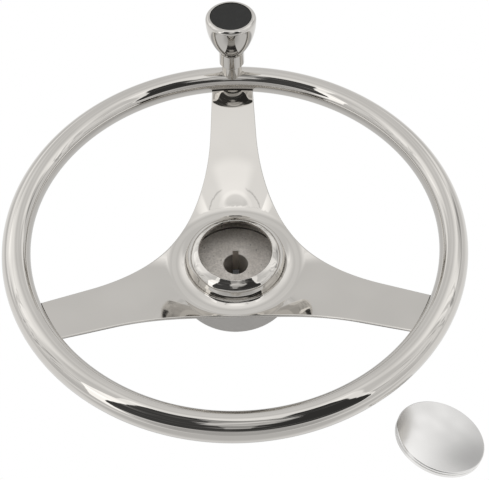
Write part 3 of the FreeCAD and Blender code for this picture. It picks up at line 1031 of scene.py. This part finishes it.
@dataclass
class Knob:
    """The post, the fixed sleeve and the bell that turns above it with its insert and bearings."""

    rim: Rim
    post_diameter: float = 16.2
    post_height: float = 7.7
    post_depth: float = 6.0
    sleeve_diameter: float = 20.6
    sleeve_length: float = 14.4
    sleeve_chamfer: float = 2.2
    shoulder_diameter: float = 10.1
    bell_gap: float = 0.9
    bell_diameter: float = 40.4
    neck_diameter: float = 20.8
    bell_height: float = 34.0
    top_radius: float = 3.4
    ledge: float = 3.2
    insert_diameter: float = 33.2
    insert_thickness: float = 3.0
    insert_recess: float = 0.3
    insert_edge: float = 0.8
    insert_gap: float = 0.05
    hollow_radius: float = 10.6
    hollow_depth: float = 15.0
    bush_radius: float = 7.0
    flange_radius: float = 9.05
    flange_thickness: float = 1.4
    edge_rounding: float = 0.3
    steps: int = 128

    @property
    def axis(self) -> Pair:
        """Where the knob's axis stands, in metres."""
        return (0.0, self.rim.ring_radius * METRES)

    @property
    def post_top(self) -> float:
        """The height of the parting line between post and sleeve."""
        return self.rim.crest + self.post_height

    @property
    def sleeve_top(self) -> float:
        """The height of the sleeve's upper face."""
        return self.post_top + self.sleeve_length

    @property
    def bell_top(self) -> float:
        """The height of the bell's upper edge."""
        return self.sleeve_top + self.bell_gap + self.bell_height

    def build(self) -> None:
        """Builds and dresses the knob from the post up."""
        fittings = PolishedSteel("polished_fittings", Lay.ROUND_AXIS, centre=self.axis).material()
        seat(self._turned("post", self._post(), fittings), "wheel", "polished_fittings", "knob_post")
        seat(self._turned("sleeve", self._sleeve(), fittings), "wheel", "polished_fittings", "knob_sleeve")
        steel = PolishedSteel("polished_knob", Lay.ROUND_AXIS, centre=self.axis).material()
        seat(self._turned("bell", self._bell(), steel), "knob", "polished_knob", "knob_body")
        black = Plastic("black_insert", (0.019, 0.019, 0.018), 0.5, 3.0e-5, shine=0.3).material()
        seat(self._turned("insert", self._insert(), black), "knob", "black_insert", "knob_insert")
        machined = BareSteel("machined_steel", (0.58, 0.57, 0.55), 0.25, self.axis).material()
        dress(machined, "knob_spindle", "knob_head_washer")
        acetal = Plastic("bearing_plastic", (0.72, 0.70, 0.64), 0.35, 1.0e-5).material()
        dress(acetal, "knob_thrust_washer", "knob_bush_lower", "knob_bush_upper")

    def _turned(self, name: str, section: Outline, finish: bpy.types.Material) -> bpy.types.Object:
        """A piece turned about the knob's axis."""
        return Shell().turned(section, self.steps, (0.0, self.rim.ring_radius)).build(name, finish)

    def _post(self) -> Outline:
        """The post, which is welded to the rim.

        Returns:
            The half section.
        """
        inner, outer = self.shoulder_diameter / 2, self.post_diameter / 2
        top, bottom = self.post_top, self.rim.crest - self.post_depth
        return Outline().path((inner, top, 0), (outer, top, self.edge_rounding), (outer, bottom, 0),
                              (inner, bottom, 0), (inner, top, 0))

    def _sleeve(self) -> Outline:
        """The fixed sleeve with its chamfered foot.

        Returns:
            The half section.
        """
        inner, outer = self.shoulder_diameter / 2, self.sleeve_diameter / 2
        top, foot = self.sleeve_top, self.post_top
        chamfer, edge = self.sleeve_chamfer, self.edge_rounding
        return Outline().path((inner, top, 0), (outer, top, edge), (outer, foot + chamfer, edge),
                              (outer - chamfer, foot, edge), (inner, foot, 0), (inner, top, 0))

    def _bell(self) -> Outline:
        """The bell: a wide arc up its side, a rounded top edge and the seats inside.

        Returns:
            The half section.
        """
        widest, neck = self.bell_diameter / 2, self.neck_diameter / 2
        bottom, top = self.bell_top - self.bell_height, self.bell_top
        widest_height = top - self.top_radius
        rise = widest_height - bottom
        side_radius = (rise ** 2 + (widest - neck) ** 2) / (2 * (widest - neck))
        flange_top = bottom + self.flange_thickness
        hollow_floor = top - self.hollow_depth
        insert_bottom = top - self.insert_recess - self.insert_thickness
        insert_seat = self.insert_diameter / 2
        section = Outline().arc((widest - self.top_radius, widest_height), self.top_radius, pi / 2, 0.0)
        section.arc((widest - side_radius, widest_height), side_radius, 0.0, -asin(rise / side_radius), 1.5)
        return section.path(
            (neck, bottom, 0), (self.flange_radius, bottom, 0), (self.flange_radius, flange_top, 0),
            (self.bush_radius, flange_top, 0), (self.bush_radius, hollow_floor, 0),
            (self.hollow_radius, hollow_floor, 0), (insert_seat - self.ledge, insert_bottom, 0),
            (insert_seat, insert_bottom, 0), (insert_seat, top, 0), (widest - self.top_radius, top, 0))

    def _insert(self) -> Outline:
        """The black plug that closes the bell.

        Returns:
            The half section.
        """
        outer = self.insert_diameter / 2 - self.insert_gap
        top = self.bell_top - self.insert_recess
        bottom = top - self.insert_thickness
        return Outline().path((0, top, 0), (outer, top, self.insert_edge), (outer, bottom, 0), (0, bottom, 0))


@dataclass
class Cap:
    """The hub cap, taken off and leaning on its lid's edge and its two clips."""

    diameter: float = 63.4
    height: float = 6.3
    crown: float = 0.9
    sheet: float = 1.2
    edge_radius: float = 0.8
    groove_depth: float = 0.5
    groove_width: float = 0.6
    groove_position: float = 1.9
    foot_chamfer: float = 0.4
    clip_reach: float = 15.2
    clip_width: float = 4.5
    ground: float = -2.1
    place: Pair = (141.8, -142.9)
    lean_direction: float = 48.3
    groove_rounding: float = 0.15
    steps: int = 160

    def placing(self) -> Matrix:
        """Where the cap lies: leaning on the edge of its lid and the toes of its clips.

        Returns:
            The cap's place, in millimetres.
        """
        edge = self.diameter / 2 - self.foot_chamfer
        lean = atan((self.clip_reach - self.height) / (edge - self.clip_width / 2))
        face = self.ground + edge * sin(lean) + self.height * cos(lean)
        return (Matrix.Translation((*self.place, face))
                @ Matrix.Rotation(radians(self.lean_direction), 4, "Z") @ Matrix.Rotation(lean, 4, "Y"))

    def build(self) -> None:
        """Builds and dresses the lid, and dresses what is under it."""
        centre = (self.place[0] * METRES, self.place[1] * METRES)
        finish = PolishedSteel("polished_cap", Lay.ROUND_AXIS, tint=(0.86, 0.85, 0.835), centre=centre,
                               roughness=0.15, haze=0.10, cloud=0.17, ripple=8.0e-6,
                               ripple_size=0.018).material()
        lid = Shell().turned(self._lid(), self.steps).build("lid", finish, self.placing())
        seat(lid, "wheel", "polished_cap", "cap_lid")
        dress(BareSteel("cap_inside", (0.50, 0.49, 0.47), 0.32, centre).material(), "cap_back_plate")
        dress(BareSteel("spring_steel", (0.55, 0.54, 0.52), 0.2).material(), "cap_clip_near", "cap_clip_far")

    def _lid(self) -> Outline:
        """The pressed lid, with the groove round its side.

        Returns:
            The half section.
        """
        outer = self.diameter / 2
        reach = outer - self.edge_radius
        crown_radius = (reach ** 2 + self.crown ** 2) / (2 * self.crown)
        edge_height = sqrt((crown_radius - self.edge_radius) ** 2 - reach ** 2) - crown_radius
        touch = atan2(edge_height + crown_radius, reach)
        high = -self.crown - self.groove_position
        low, deep, small = high - self.groove_width, outer - self.groove_depth, self.groove_rounding
        foot, roof = -self.height, -self.crown - self.sheet
        section = Outline().arc((0.0, -crown_radius), crown_radius, pi / 2, touch, 0.2)
        section.arc((reach, edge_height), self.edge_radius, touch, 0.0)
        return section.path(
            (outer, edge_height, 0), (outer, high, small), (deep, high, small), (deep, low, small),
            (outer, low, small), (outer, foot + self.foot_chamfer, 0), (outer - self.foot_chamfer, foot, 0),
            (outer - self.sheet, foot, 0), (outer - self.sheet, roof, 0), (0.0, roof, 0))


@dataclass(frozen=True)
class Patch:
    """A soft-edged patch of a card, in metres to the side and away, and the light that it adds."""

    light: float
    across: Span
    along: Span
    both_sides: bool = True

    def mask(self, x: Wire, y: Wire) -> Wire:
        """1 inside the patch, fading to 0 over its edges."""
        return (abs(x) if self.both_sides else x).through(*self.across) * y.through(*self.along)


@dataclass
class Studio:
    """A pale floor and backdrop under a low pale ceiling, open in a dark wedge toward the viewer."""

    ground: float = -0.0021
    floor_size: float = 6.0
    floor_gap: float = 0.0001
    hub_shade: float = 0.043
    hub_blur: float = 0.004
    card_steps: int = 12
    ceiling: float = 0.65
    ceiling_size: float = 6.0
    apex: float = 0.25
    tip: float = 0.048
    end: float = -1.10
    end_fade: float = 0.20
    edge_blur: float = 0.006
    backdrop: float = 12.0
    backdrop_steps: int = 48
    shadow_centre: float = 0.05
    shadow_radius: float = 0.178
    wobble: Grain = Grain(6.0, 3.0, 0.55, 6.3)
    cloth_light: float = 0.79
    cloth: Grain = Grain(2.2, 2.0, 0.5, 2.7)
    folds: Grain = Grain(1.0, 3.0, 0.6, 4.9)
    creases: Grain = Grain(1.3, 3.0, 0.6, 8.8)
    bars: Grain = Grain(1.6, 3.0, 0.6, 5.1)
    streaks: Grain = Grain(2.5, 2.0, 0.6, 9.3)
    wander: Grain = Grain(60.0, 2.0, 0.6, 2.1)
    skyline: Grain = Grain(2.6, 2.0, 0.5, 1.9)
    creased: Patch = Patch(0.45, (0.40, 0.60, OUT, FAR), (-0.57, -0.45, 0.26, 0.38))
    plain: Patch = Patch(0.0, (0.06, 0.12, 0.42, 0.48), (0.50, 0.60, 1.15, 1.25))
    over_cap: Patch = Patch(0.70, (0.49, 0.55, 1.06, 1.12), (0.44, 0.52, 1.30, 1.38), False)
    cap_foot: Patch = Patch(-0.30, (0.44, 0.52, 1.10, 1.18), (0.34, 0.40, 0.48, 0.54), False)
    left_corner: Patch = Patch(0.32, (-FAR, -OUT, -0.70, -0.45), (0.35, 0.60, 1.40, 1.65), False)
    beside: Patch = Patch(0.40, (0.10, 0.38, 0.80, 1.20), (-0.01, 0.14, 0.50, 0.65))
    over_spoke: Patch = Patch(0.30, (-FAR, -OUT, 0.10, 0.24), (-0.14, 0.02, 0.16, 0.32))
    glint: Patch = Patch(0.18, (-FAR, -OUT, 0.03, 0.06), (0.04, 0.06, 0.10, 0.12))
    band: Patch = Patch(0.07, (-FAR, -OUT, 0.06, 0.12), (0.35, 0.40, 0.62, 0.67))
    dark_line: float = 0.0725
    lens_centre: Pair = (-0.01, 0.052)
    lens_size: Pair = (0.05, 0.009)
    room_dark: float = 0.045
    room_pale: float = 0.86
    lamps_centre: Pair = (0.02, -0.27)
    lamps_size: Pair = (0.14, 0.16)
    floor_light: float = 0.96
    floor_front: Patch = Patch(-0.28, (-FAR, -OUT, 0.25, 0.55), (-FAR, -OUT, -0.26, -0.175))
    floor_back: Patch = Patch(-0.12, (-FAR, -OUT, OUT, FAR), (0.30, 0.50, OUT, FAR))
    knob_shadow: Patch = Patch(0.35, (-FAR, -OUT, 0.010, 0.026), (0.19, 0.21, 0.33, 0.35))

    def build(self) -> None:
        """Builds the floor, the ceiling and the room."""
        self._floor()
        self._backdrop()
        self._lit_floor()
        self._ceiling()
        self._room()
        bpy.context.scene.view_settings.view_transform = "Standard"

    def _card(self, name: str, height: float, size: float, facing: float, shader: Shader) -> bpy.types.Object:
        """Builds a level card.

        Args:
            name: The card's name.
            height: Its height in metres.
            size: Its width in metres.
            facing: 1 where it faces up, -1 where it faces down.
            shader: The shader of its material.

        Returns:
            The card.
        """
        steps = np.linspace(-size / 2, size / 2, self.card_steps + 1)
        across, along = np.meshgrid(steps, steps)
        points = np.stack([across, along, np.full_like(across, height)], -1) / METRES
        normals = np.broadcast_to(np.array((0.0, 0.0, facing)), points.shape)
        card = Shell().grid(points, normals).build(name, shader.owner)
        return card

    @staticmethod
    def _glow(shader: Shader, light: Wire | float) -> None:
        """Ends a stage material in a grey glow."""
        grey = shader.join(light, light, light) if isinstance(light, Wire) else (light, light, light)
        shader.surface(Base_Color=(0.0, 0.0, 0.0), Roughness=1.0, Specular_IOR_Level=0.0,
                       Emission_Color=grey, Emission_Strength=1.0)

    @staticmethod
    def _show_to_camera_alone(card: bpy.types.Object) -> None:
        """Keeps a card out of the steel's reflections and the light on the object."""
        card.visible_glossy = False
        card.visible_diffuse = False

    def _beyond_hub(self, radius: Wire) -> Wire:
        """A mask of the floor that is 0 under the hub."""
        return radius.rises(self.hub_shade - self.hub_blur, self.hub_shade)

    def _floor(self) -> None:
        """Builds the plain white floor that the object stands on, unlit under the hub."""
        shader = Shader.of_material("pale_floor")
        x, y, _ = shader.place()
        self._glow(shader, 0.05 + self._beyond_hub(shader.length(x, y)) * 0.95)
        self._show_to_camera_alone(self._card("floor", self.ground, self.floor_size, 1.0, shader))

    def _backdrop(self) -> None:
        """Builds the plain white dome behind the object."""
        shader = Shader.of_material("pale_backdrop")
        self._glow(shader, 1.0)
        centre = (0.0, self.ground / METRES)
        section = Outline().arc(centre, self.backdrop / METRES, pi / 2, -pi / 2, 360.0 / self.backdrop_steps)
        dome = Shell().turned(section, self.backdrop_steps).build("backdrop", shader.owner)
        self._show_to_camera_alone(dome)

    def _lit_floor(self) -> None:
        """Builds what the steel mirrors of the floor: greyer in front, shaded under the wheel."""
        shader = Shader.of_material("lit_floor")
        x, y, _ = shader.place()
        radius = shader.length(x, y)
        ring = abs(shader.length(x, y - self.shadow_centre) - self.shadow_radius).falls(0.012, 0.030)
        knob = self.knob_shadow.mask(x, y)
        shade = shader.maths("MAXIMUM", ring * 0.50, knob * self.knob_shadow.light)
        light = self.floor_light - radius.falls(0.17, 0.20) * 0.24 - radius.falls(0.05, 0.12) * 0.20
        for patch in (self.floor_front, self.floor_back):
            light = light + patch.mask(x, y) * patch.light
        self._glow(shader, light * (1.0 - shade) * self._beyond_hub(radius))
        card = self._card("lit_floor", self.ground - self.floor_gap, self.floor_size, 1.0, shader)
        card.visible_camera = False

    def _ceiling(self) -> None:
        """Builds the ceiling, a card that the camera looks through and the steel mirrors."""
        shader = Shader.of_material("pale_ceiling")
        x, y, _ = shader.place()
        ahead = self.apex - y
        radius = shader.length(x, y)
        wobble = (shader.noise(shader.join(x, y, 0.0), self.wobble) - 0.5) * ahead.rises(0.2, 0.5)
        half_width = 0.02 + ahead * 0.62 + ahead.rises(0.4, 1.2) * 0.36
        past_edge = abs(x) - half_width + wobble * 0.07
        lengthways = y.through(self.end - self.end_fade, self.end, self.tip - self.edge_blur, self.tip)
        opening = past_edge.falls(-self.edge_blur, self.edge_blur) * lengthways
        light = self._tent(shader, x, y, radius, ahead) + self._hems(x, y, past_edge, ahead)
        light = light * (1.0 - opening) + opening * self._inside(shader, x, y)
        self._glow(shader, light * self._horizon(shader, x / radius, y / radius, radius.rises(2.5, 2.8)))
        card = self._card("ceiling", self.ceiling, self.ceiling_size, -1.0, shader)
        card.visible_camera = False

    def _tent(self, shader: Shader, x: Wire, y: Wire, radius: Wire, ahead: Wire) -> Wire:
        """The cloth of the ceiling, with folds that run round the wheel and brighter places.

        Args:
            shader: The ceiling's shader.
            x: Metres to the right.
            y: Metres away from the viewer.
            radius: Metres from the wheel's axis.
            ahead: Metres from the opening's apex toward the viewer.

        Returns:
            The light.
        """
        lengths = shader.maths("LOGARITHM", radius, 2.718)
        round_wheel = shader.join(x / radius * 1.3, y / radius * 1.3, lengths * 9.0)
        over_cap = self.over_cap.mask(x, y)
        smooth = (1.0 - self.plain.mask(x, y)) * (1.0 - over_cap)
        folds = (shader.noise(round_wheel, self.folds) - 0.5) * radius.rises(0.45, 0.75) * smooth
        across = shader.noise(shader.join(x * 0.8, y * 7.0, 0.0), self.creases)
        creases = (across.rises(0.50, 0.62) - 0.35) * self.creased.mask(x, y)
        cloth = shader.noise(shader.join(x, y, 0.0), self.cloth) - 0.5
        far_front = (ahead - abs(x) * 0.65).rises(1.2, 1.4)
        light = self.cloth_light + cloth * 0.12 + folds * 1.2 - creases * self.creased.light
        light = light + over_cap * ((y - x).rises(-0.16, 0.14) * self.over_cap.light - 0.38)
        for patch in (self.beside, self.left_corner, self.over_spoke, self.glint, self.band, self.cap_foot):
            light = light + patch.mask(x, y) * patch.light
        return light - self._above_collar(shader, x, y) - far_front * 0.24

    @staticmethod
    def _from_centre(shader: Shader, x: Wire, y: Wire, centre: Pair, size: Pair) -> Wire:
        """How far a place is from the centre of an ellipse, where 1 is the ellipse itself.

        Args:
            shader: The card's shader.
            x: Metres to the right.
            y: Metres away from the viewer.
            centre: The ellipse's centre.
            size: Half its width and half its length.

        Returns:
            The distance.
        """
        return shader.length((x - centre[0]) / size[0], (y - centre[1]) / size[1])

    def _above_collar(self, shader: Shader, x: Wire, y: Wire) -> Wire:
        """The dark line and the lens-shaped shade that the collar and the spoke above it mirror.

        Args:
            shader: The ceiling's shader.
            x: Metres to the right.
            y: Metres away from the viewer.

        Returns:
            The light that is taken away.
        """
        wander = (shader.noise(shader.join(x, y, 0.0), self.wander) - 0.5) * 0.006
        line = (y - self.dark_line + wander).within(-0.0006, 0.0006, 0.0012)
        line = line * abs(x).within(0.045, 0.14, 0.01)
        away = self._from_centre(shader, x, y, self.lens_centre, self.lens_size)
        return line * 0.35 + away.falls(0.75, 1.15) * 0.24 - away.within(1.2, 1.5, 0.25) * 0.08

    def _horizon(self, shader: Shader, right: Wire, away: Wire, far: Wire) -> Wire:
        """The dark gap between floor and ceiling, which is deeper in some directions.

        Args:
            shader: The shader that it darkens.
            right: The direction's part to the right.
            away: Its part away from the viewer.
            far: 1 in the gap, 0 out of it.

        Returns:
            What the light is multiplied by.
        """
        depth = shader.noise(shader.join(right, away, 0.0), self.skyline).rises(0.36, 0.60)
        return 1.0 - far * (0.03 + depth * 0.14)

    def _hems(self, x: Wire, y: Wire, past_edge: Wire, ahead: Wire) -> Wire:
        """The bright hems along the opening's edges, wide on the left and narrow on the right.

        Args:
            x: Metres to the right.
            y: Metres away from the viewer.
            past_edge: Metres beyond the opening's edge, sideways.
            ahead: Metres toward the viewer from where the edges would meet.

        Returns:
            The added light.
        """
        width = 0.05 + ahead.rises(0.35, 0.55) * 0.25 + ahead.rises(0.9, 1.9) * 0.6
        strength = 0.45 + ahead.rises(0.35, 0.5) * 0.3
        left = x.falls(-0.02, 0.02) * (past_edge / width).within(0.05, 0.9, 0.1) * strength
        right = x.rises(-0.02, 0.02) * past_edge.within(0.0, 0.05, 0.015) * 0.35
        return (left + right) * y.falls(0.08, 0.12)

    def _inside(self, shader: Shader, x: Wire, y: Wire) -> Wire:
        """What shows in the opening: a dark room with a pale tip and a cluster of lamps.

        Args:
            shader: The ceiling's shader.
            x: Metres to the right.
            y: Metres away from the viewer.

        Returns:
            The light.
        """
        side = abs(x)
        bars = shader.noise(shader.join(x * 1.5, y * 9.0, 0.0), self.bars).rises(0.38, 0.62)
        lamps = self._from_centre(shader, x, y, self.lamps_centre, self.lamps_size) + (bars - 0.5) * 0.4
        middle = (side - bars * 0.02).falls(0.045, 0.055) * y.rises(-0.74, -0.62)
        second = side.falls(0.08, 0.16) * y.within(-0.62, -0.55, 0.03) * bars
        tip = side.falls(0.075, 0.095) * (y + x).rises(-0.02, 0.01)
        streaks = shader.noise(shader.join(x * 0.7, y * 6.0, 1.0), self.streaks).rises(0.55, 0.70)
        lit = shader.maths("MAXIMUM", lamps.falls(0.85, 1.05) * (0.45 + bars * 0.50), middle * 0.34)
        glow = lit * (1.0 - tip) + second * 0.30 + tip * 1.03
        return self.room_dark + x.falls(-0.1, 0.0) * 0.02 + streaks * 0.20 + glow

    def _room(self) -> None:
        """Builds the pale room beyond the ceiling's edges, greyer toward the viewer."""
        world = bpy.data.worlds.new("pale_room")
        bpy.context.scene.world = world
        shader = Shader(world, "ShaderNodeOutputWorld")
        right, away, up = shader.split(shader.node("ShaderNodeTexCoord").output("Generated"))
        light = self.room_pale - (-away).rises(0.75, 0.90) * 0.22
        light = light * self._horizon(shader, right, away, abs(up).falls(0.22, 0.30))
        shade = shader.node("ShaderNodeBackground", None,
                            {"Color": shader.join(light, light, light), "Strength": 1.0})
        shader.plug(shader.end.inputs["Surface"], shade)


@dataclass
class Photographer:
    """The camera, looking down at the wheel from its six o'clock side."""

    place: tuple[float, float, float] = (3.0, -450.2, 644.2)
    pitch: float = radians(52.59)
    yaw: float = radians(0.52)
    roll: float = radians(-0.75)
    lens: float = 72.4
    sensor: float = 36.0

    def build(self) -> None:
        """Builds the camera and makes it the scene's."""
        camera = bpy.data.cameras.new("camera")
        camera.lens = self.lens
        camera.sensor_width = self.sensor
        camera.sensor_fit = "HORIZONTAL"
        camera.clip_start = 0.01
        camera.clip_end = 50.0
        look = Vector((sin(self.yaw) * cos(self.pitch), cos(self.yaw) * cos(self.pitch), -sin(self.pitch)))
        right = Vector((cos(self.yaw), -sin(self.yaw), 0))
        up = right.cross(look)
        turned_right = right * cos(self.roll) + up * sin(self.roll)
        turned_up = up * cos(self.roll) - right * sin(self.roll)
        axes = Matrix((turned_right, turned_up, -look)).transposed().to_4x4()
        holder = bpy.data.objects.new("camera", camera)
        holder.matrix_world = Matrix.Translation(Vector(self.place) * METRES) @ axes
        bpy.context.scene.collection.objects.link(holder)
        bpy.context.scene.camera = holder


def main() -> None:
    """Builds every sub-assembly, the studio and the camera."""
    logging.basicConfig(level=logging.INFO, format="%(name)s: %(message)s")
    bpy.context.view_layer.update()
    rim = Rim()
    for assembly in (rim, Spider(rim), Hub(), Knob(rim), Cap(), Studio(), Photographer()):
        log.info("building %s", type(assembly).__name__)
        assembly.build()


if __name__ == "__main__":
    main()
